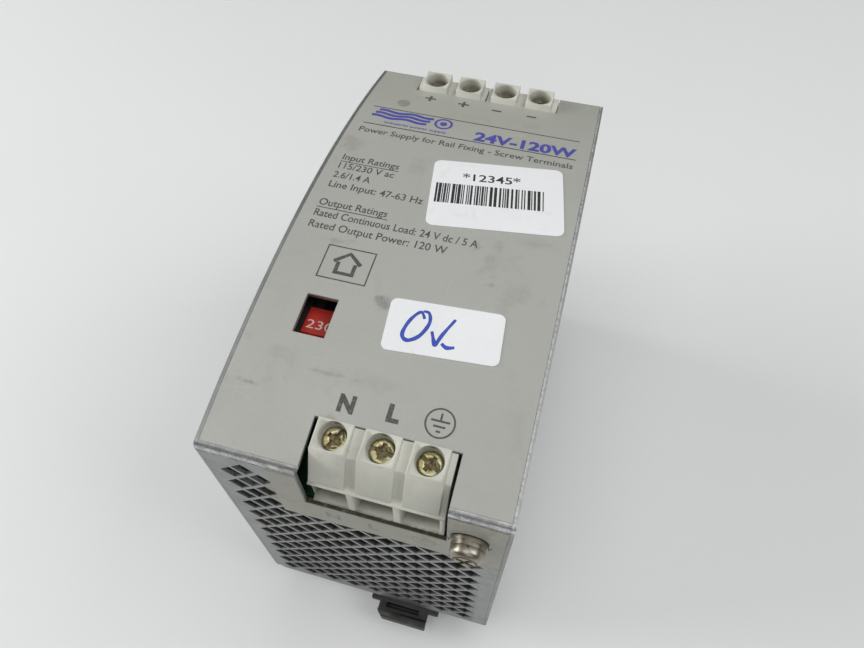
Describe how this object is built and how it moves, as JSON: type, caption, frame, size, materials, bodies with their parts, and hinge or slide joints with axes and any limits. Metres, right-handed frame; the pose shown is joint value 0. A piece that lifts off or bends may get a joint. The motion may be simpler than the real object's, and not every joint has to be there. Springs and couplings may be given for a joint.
{
  "type": "din rail power supply",
  "caption": "Rail-mount power supply in a folded sheet-metal case with a bowed front, vented ends, screw terminals, voltage selector and spring latch.",
  "frame": {"origin": "centre of the face that rests on the rail lips: on the case centre plane, at mid height of the case, on the rail seat plane", "axes": "+X along the rail, to the right seen from the front; +Y up the unit as it hangs on its rail, from the mains terminals to the output terminals; +Z away from the rail, towards the bowed front"},
  "size_m": [0.064, 0.129, 0.1063],
  "materials": {
    "black_plastic": "black moulded plastic",
    "board_green": "green solder mask on glass-epoxy",
    "bracket_black": "black glass-filled plastic",
    "cage_steel": "zinc-plated steel",
    "capacitor_sleeve": "dark blue heat-shrunk sleeve",
    "clear_sheet": "milky polyester insulation",
    "copper_wire": "enamelled copper wire",
    "end_foil": "beige-grey printed foil, satin",
    "ferrite": "dark grey ferrite",
    "front_foil": "warm grey printed polyester foil, satin, smudged",
    "heatsink_aluminium": "bare aluminium",
    "lamp_green": "diffused green lamp body, off",
    "nickel_screw": "nickel-plated steel, slightly yellowed",
    "red_plastic": "red moulded plastic with white figures",
    "spring_steel": "spring steel wire",
    "terminal_brass": "tinned brass",
    "terminal_plastic": "off-white moulded polyamide",
    "white_label": "white coated paper label",
    "white_plastic": "white moulded plastic",
    "yellow_chromate": "steel with yellow chromate plating",
    "yellow_plastic": "yellow moulded capacitor case",
    "yellow_tape": "yellow polyester winding tape",
    "zinc_sheet": "zinc-plated steel sheet, dull, worn bright along the folds"
  },
  "bodies": {
    "case": {"barcode_sticker": "white_label", "board_connectors": "white_plastic", "board_screws": "nickel_screw", "board_standoffs": "terminal_brass", "bracket_screws": "nickel_screw", "bulk_capacitors": "capacitor_sleeve", "choke_cores": "ferrite", "choke_windings": "copper_wire", "coil_bases": "black_plastic", "control_chips": "black_plastic", "cover_screws": "nickel_screw", "cover_tabs": "zinc_sheet", "din_bracket": "bracket_black", "earth_screw": "nickel_screw", "earth_washers": "nickel_screw", "fixing_nuts": "nickel_screw", "front_board": "board_green", "front_cover": "zinc_sheet", "front_foil": "front_foil", "heatsinks": "heatsink_aluminium", "indicator_lamp": "lamp_green", "input_contact_bars": "terminal_brass", "input_end_grille": "zinc_sheet", "input_terminal_block": "terminal_plastic", "inrush_thermistor": "black_plastic", "inspection_sticker": "white_label", "insulating_sheet": "clear_sheet", "lamp_holder": "black_plastic", "latch_spring": "spring_steel", "main_board": "board_green", "mains_fuse": "nickel_screw", "output_capacitors": "capacitor_sleeve", "output_contact_bars": "terminal_brass", "output_end_grille": "zinc_sheet", "output_terminal_block_minus": "terminal_plastic", "output_terminal_block_plus": "terminal_plastic", "power_semiconductors": "black_plastic", "rear_chassis": "zinc_sheet", "rectifier_bridge": "black_plastic", "selector_body": "black_plastic", "terminal_foil": "end_foil", "transformer_core": "ferrite", "transformer_winding": "yellow_tape", "x_capacitors": "yellow_plastic"},
    "latch": {"din_latch": "bracket_black"},
    "selector": {"selector_slider": "red_plastic"},
    "screw_n": {"terminal_screw_n": "yellow_chromate"},
    "cage_n": {"clamp_cage_n": "cage_steel"},
    "screw_l": {"terminal_screw_l": "yellow_chromate"},
    "cage_l": {"clamp_cage_l": "cage_steel"},
    "screw_earth": {"terminal_screw_earth": "yellow_chromate"},
    "cage_earth": {"clamp_cage_earth": "cage_steel"},
    "screw_plus_1": {"terminal_screw_plus_1": "yellow_chromate"},
    "cage_plus_1": {"clamp_cage_plus_1": "cage_steel"},
    "screw_plus_2": {"terminal_screw_plus_2": "yellow_chromate"},
    "cage_plus_2": {"clamp_cage_plus_2": "cage_steel"},
    "screw_minus_1": {"terminal_screw_minus_1": "yellow_chromate"},
    "cage_minus_1": {"clamp_cage_minus_1": "cage_steel"},
    "screw_minus_2": {"terminal_screw_minus_2": "yellow_chromate"},
    "cage_minus_2": {"clamp_cage_minus_2": "cage_steel"}
  },
  "joints": [
    {"name": "screw_n_turn", "type": "hinge", "parent": "case", "child": "screw_n", "pos_m": [-0.00575, -0.0539, 0.09643], "axis": [0, -0.2046, 0.9788], "range_deg": [0, 1805]},
    {"name": "cage_n_slide", "type": "slide", "parent": "case", "child": "cage_n", "axis": [0, 0.2046, -0.9788], "range_m": [0, 0.003]},
    {"name": "screw_l_turn", "type": "hinge", "parent": "case", "child": "screw_l", "pos_m": [0.00395, -0.0539, 0.09643], "axis": [0, -0.2046, 0.9788], "range_deg": [0, 1805]},
    {"name": "cage_l_slide", "type": "slide", "parent": "case", "child": "cage_l", "axis": [0, 0.2046, -0.9788], "range_m": [0, 0.003]},
    {"name": "screw_earth_turn", "type": "hinge", "parent": "case", "child": "screw_earth", "pos_m": [0.01365, -0.0539, 0.09643], "axis": [0, -0.2046, 0.9788], "range_deg": [0, 1805]},
    {"name": "cage_earth_slide", "type": "slide", "parent": "case", "child": "cage_earth", "axis": [0, 0.2046, -0.9788], "range_m": [0, 0.003]},
    {"name": "screw_plus_1_turn", "type": "hinge", "parent": "case", "child": "screw_plus_1", "pos_m": [-0.01445, 0.05565, 0.0968], "axis": [0, 0, 1], "range_deg": [0, 1805]},
    {"name": "cage_plus_1_slide", "type": "slide", "parent": "case", "child": "cage_plus_1", "axis": [0, 0, -1], "range_m": [0, 0.003]},
    {"name": "screw_plus_2_turn", "type": "hinge", "parent": "case", "child": "screw_plus_2", "pos_m": [-0.00485, 0.05565, 0.0968], "axis": [0, 0, 1], "range_deg": [0, 1805]},
    {"name": "cage_plus_2_slide", "type": "slide", "parent": "case", "child": "cage_plus_2", "axis": [0, 0, -1], "range_m": [0, 0.003]},
    {"name": "screw_minus_1_turn", "type": "hinge", "parent": "case", "child": "screw_minus_1", "pos_m": [0.0051, 0.05565, 0.0968], "axis": [0, 0, 1], "range_deg": [0, 1805]},
    {"name": "cage_minus_1_slide", "type": "slide", "parent": "case", "child": "cage_minus_1", "axis": [0, 0, -1], "range_m": [0, 0.003]},
    {"name": "screw_minus_2_turn", "type": "hinge", "parent": "case", "child": "screw_minus_2", "pos_m": [0.0147, 0.05565, 0.0968], "axis": [0, 0, 1], "range_deg": [0, 1805]},
    {"name": "cage_minus_2_slide", "type": "slide", "parent": "case", "child": "cage_minus_2", "axis": [0, 0, -1], "range_m": [0, 0.003]},
    {"name": "selector_slide", "type": "slide", "parent": "case", "child": "selector", "axis": [0, 1, 0], "range_m": [0, 0.006]},
    {"name": "latch_slide", "type": "slide", "parent": "case", "child": "latch", "axis": [0, -1, 0], "range_m": [0, 0.004], "stiffness_N_per_m": 1500, "springref_m": -0.003, "deforming": ["latch_spring"]}
  ],
  "couplings": [
    {"joint": "screw_n_turn", "follows": "cage_n_slide", "rad_per_m": 10472},
    {"joint": "screw_l_turn", "follows": "cage_l_slide", "rad_per_m": 10472},
    {"joint": "screw_earth_turn", "follows": "cage_earth_slide", "rad_per_m": 10472},
    {"joint": "screw_plus_1_turn", "follows": "cage_plus_1_slide", "rad_per_m": 10472},
    {"joint": "screw_plus_2_turn", "follows": "cage_plus_2_slide", "rad_per_m": 10472},
    {"joint": "screw_minus_1_turn", "follows": "cage_minus_1_slide", "rad_per_m": 10472},
    {"joint": "screw_minus_2_turn", "follows": "cage_minus_2_slide", "rad_per_m": 10472}
  ]
}
